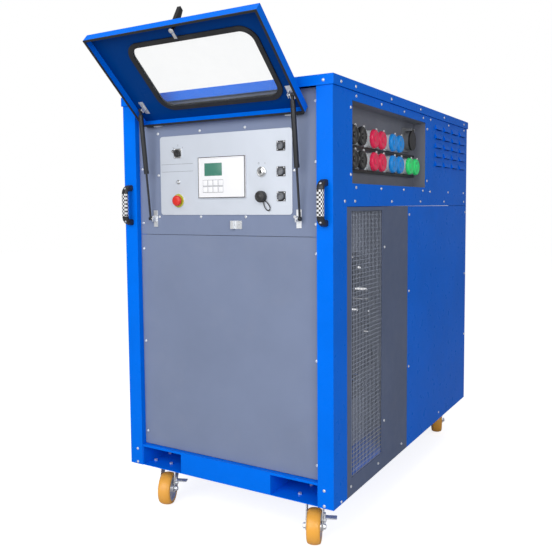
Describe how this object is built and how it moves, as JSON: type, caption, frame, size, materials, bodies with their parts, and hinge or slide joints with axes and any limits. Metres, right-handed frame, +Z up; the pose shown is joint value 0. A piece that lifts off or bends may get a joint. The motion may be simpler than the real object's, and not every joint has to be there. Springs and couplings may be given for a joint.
{
  "type": "generator load bank",
  "caption": "Portable generator load bank on swivel casters: blue and grey sheet cabinet with raised window lid over the controls, connector bay, intake guards and fans.",
  "frame": {"origin": "on the floor under the middle of the whole outline, with the lid raised as stored", "axes": "+Z up; the control face and the raised lid look along -Y; +X is the side with the connector bay; Y is the longest extent"},
  "size_m": [0.932, 1.9062, 1.8487],
  "materials": {
    "black_plastic": "matt",
    "black_rubber": "matt",
    "blue_paint": "gloss",
    "chrome_trim": "polished",
    "dark_grey_paint": "satin",
    "dark_metal": "satin",
    "grey_paint": "satin",
    "grey_plastic": "matt",
    "orange_tyre": "satin polyurethane",
    "red_plastic": "gloss",
    "silver_plate": "brushed",
    "white_plastic": "gloss",
    "window_glass": "clear",
    "zinc": "zinc plated"
  },
  "bodies": {
    "cabinet": {"base_frame": "blue_paint", "blank_panels": "blue_paint", "cabinet_frame": "blue_paint", "caster_plates": "zinc", "connector_bay_liner": "grey_paint", "connector_bodies": "grey_plastic", "connector_covers": "black_rubber", "connector_rails": "dark_metal", "contactor_panel": "zinc", "control_fascia": "grey_paint", "control_plate": "silver_plate", "display_module": "white_plastic", "element_frame": "zinc", "exhaust_guard": "grey_paint", "fan_motors": "dark_grey_paint", "fan_shrouds": "dark_grey_paint", "fascia_brackets": "zinc", "grab_handles": "black_plastic", "inlet_body": "grey_plastic", "intake_panels": "grey_paint", "left_intake_screen": "zinc", "louvre_panels": "blue_paint", "lower_front_panel": "grey_paint", "panel_connectors": "black_plastic", "panel_screws": "zinc", "resistor_elements": "zinc", "right_bay_panel": "blue_paint", "right_intake_screen": "zinc", "roof_cap": "blue_paint", "side_rear_panels": "blue_paint", "switch_bezels": "silver_plate"},
    "lid": {"lid_frame": "blue_paint", "lid_gasket": "black_rubber", "lid_window": "window_glass", "window_channel": "black_rubber", "lid_hinge_leaves": "dark_metal", "lid_strut_brackets": "zinc"},
    "latch": {"latch_handle": "black_plastic"},
    "left_strut_cylinder": {"left_strut_cylinder": "dark_metal"},
    "left_strut_rod": {"left_strut_rod": "dark_metal"},
    "right_strut_cylinder": {"right_strut_cylinder": "dark_metal"},
    "right_strut_rod": {"right_strut_rod": "dark_metal"},
    "right_fan": {"right_fan": "dark_metal"},
    "left_fan": {"left_fan": "dark_metal"},
    "selector": {"selector_knob": "black_plastic"},
    "emergency_stop": {"estop_button": "red_plastic"},
    "toggle": {"toggle_lever": "chrome_trim"},
    "power_button": {"power_button": "chrome_trim"},
    "inlet_cover": {"inlet_cover": "black_plastic"},
    "front_right_fork": {"front_right_caster_fork": "zinc"},
    "front_right_wheel": {"front_right_caster_wheel": "orange_tyre"},
    "front_right_brake": {"front_right_brake_pedal": "zinc"},
    "front_left_fork": {"front_left_caster_fork": "zinc"},
    "front_left_wheel": {"front_left_caster_wheel": "orange_tyre"},
    "front_left_brake": {"front_left_brake_pedal": "zinc"},
    "rear_right_fork": {"rear_right_caster_fork": "zinc"},
    "rear_right_wheel": {"rear_right_caster_wheel": "orange_tyre"},
    "rear_left_fork": {"rear_left_caster_fork": "zinc"},
    "rear_left_wheel": {"rear_left_caster_wheel": "orange_tyre"}
  },
  "joints": [
    {"name": "lid_hinge", "type": "hinge", "parent": "cabinet", "child": "lid", "pos_m": [0, -0.64193, 1.5115], "axis": [1, 0, 0], "range_deg": [0, 131.8], "stiffness_Nm_per_rad": 6, "springref_deg": -148.97},
    {"name": "latch_turn", "type": "hinge", "parent": "lid", "child": "latch", "pos_m": [0.022, -0.92894, 1.76812], "axis": [0, 0.6665, 0.7455], "range_deg": [-90, 0]},
    {"name": "left_strut_swing", "type": "hinge", "parent": "lid", "child": "left_strut_cylinder", "pos_m": [-0.33, -0.69384, 1.56596], "axis": [1, 0, 0], "range_deg": [-139, 0]},
    {"name": "left_strut_slide", "type": "slide", "parent": "left_strut_cylinder", "child": "left_strut_rod", "axis": [0, -0.1113, 0.9938], "range_m": [0, 0.1325]},
    {"name": "right_strut_swing", "type": "hinge", "parent": "lid", "child": "right_strut_cylinder", "pos_m": [0.33, -0.69384, 1.56596], "axis": [1, 0, 0], "range_deg": [-139, 0]},
    {"name": "right_strut_slide", "type": "slide", "parent": "right_strut_cylinder", "child": "right_strut_rod", "axis": [0, -0.1113, 0.9938], "range_m": [0, 0.1325]},
    {"name": "right_fan_spin", "type": "hinge", "parent": "cabinet", "child": "right_fan", "pos_m": [0.307, -0.23893, 0.727], "axis": [1, 0, 0], "continuous": true},
    {"name": "left_fan_spin", "type": "hinge", "parent": "cabinet", "child": "left_fan", "pos_m": [-0.307, -0.23893, 0.727], "axis": [1, 0, 0], "continuous": true},
    {"name": "front_right_swivel", "type": "hinge", "parent": "cabinet", "child": "front_right_fork", "pos_m": [0.335, -0.55093, 0.145], "axis": [0, 0, 1], "continuous": true},
    {"name": "front_right_roll", "type": "hinge", "parent": "front_right_fork", "child": "front_right_wheel", "pos_m": [0.35186, -0.59265, 0.0635], "axis": [0.9272, 0.3746, 0], "continuous": true},
    {"name": "front_right_brake_tilt", "type": "hinge", "parent": "front_right_fork", "child": "front_right_brake", "pos_m": [0.38431, -0.57954, 0.0875], "axis": [0.9272, 0.3746, 0], "range_deg": [0, 18]},
    {"name": "front_left_swivel", "type": "hinge", "parent": "cabinet", "child": "front_left_fork", "pos_m": [-0.335, -0.55093, 0.145], "axis": [0, 0, 1], "continuous": true},
    {"name": "front_left_roll", "type": "hinge", "parent": "front_left_fork", "child": "front_left_wheel", "pos_m": [-0.31814, -0.59265, 0.0635], "axis": [0.9272, 0.3746, 0], "continuous": true},
    {"name": "front_left_brake_tilt", "type": "hinge", "parent": "front_left_fork", "child": "front_left_brake", "pos_m": [-0.28569, -0.57954, 0.0875], "axis": [0.9272, 0.3746, 0], "range_deg": [0, 18]},
    {"name": "rear_right_swivel", "type": "hinge", "parent": "cabinet", "child": "rear_right_fork", "pos_m": [0.335, 0.84707, 0.145], "axis": [0, 0, 1], "continuous": true},
    {"name": "rear_right_roll", "type": "hinge", "parent": "rear_right_fork", "child": "rear_right_wheel", "pos_m": [0.35186, 0.80535, 0.0635], "axis": [0.9272, 0.3746, 0], "continuous": true},
    {"name": "rear_left_swivel", "type": "hinge", "parent": "cabinet", "child": "rear_left_fork", "pos_m": [-0.335, 0.84707, 0.145], "axis": [0, 0, 1], "continuous": true},
    {"name": "rear_left_roll", "type": "hinge", "parent": "rear_left_fork", "child": "rear_left_wheel", "pos_m": [-0.31814, 0.80535, 0.0635], "axis": [0.9272, 0.3746, 0], "continuous": true},
    {"name": "selector_turn", "type": "hinge", "parent": "cabinet", "child": "selector", "pos_m": [-0.202, -0.64193, 1.402], "axis": [0, -1, 0], "range_deg": [-45, 45]},
    {"name": "emergency_stop_push", "type": "slide", "parent": "cabinet", "child": "emergency_stop", "axis": [0, 1, 0], "range_m": [0, 0.004], "stiffness_N_per_m": 1000},
    {"name": "toggle_tilt", "type": "hinge", "parent": "cabinet", "child": "toggle", "pos_m": [-0.2, -0.63593, 1.294], "axis": [1, 0, 0], "range_deg": [-12, 12]},
    {"name": "power_button_push", "type": "slide", "parent": "cabinet", "child": "power_button", "axis": [0, 1, 0], "range_m": [0, 0.003], "stiffness_N_per_m": 500},
    {"name": "inlet_cover_hinge", "type": "hinge", "parent": "cabinet", "child": "inlet_cover", "pos_m": [0.431, 0.17807, 1.522], "axis": [0, 1, 0], "range_deg": [-100, 0]}
  ],
  "couplings": [
    {"joint": "left_strut_swing", "follows": "lid_hinge", "ratio": -1.0485},
    {"joint": "left_strut_slide", "follows": "lid_hinge", "m_per_rad": 0.057394},
    {"joint": "right_strut_swing", "follows": "lid_hinge", "ratio": -1.0485},
    {"joint": "right_strut_slide", "follows": "lid_hinge", "m_per_rad": 0.057394}
  ]
}
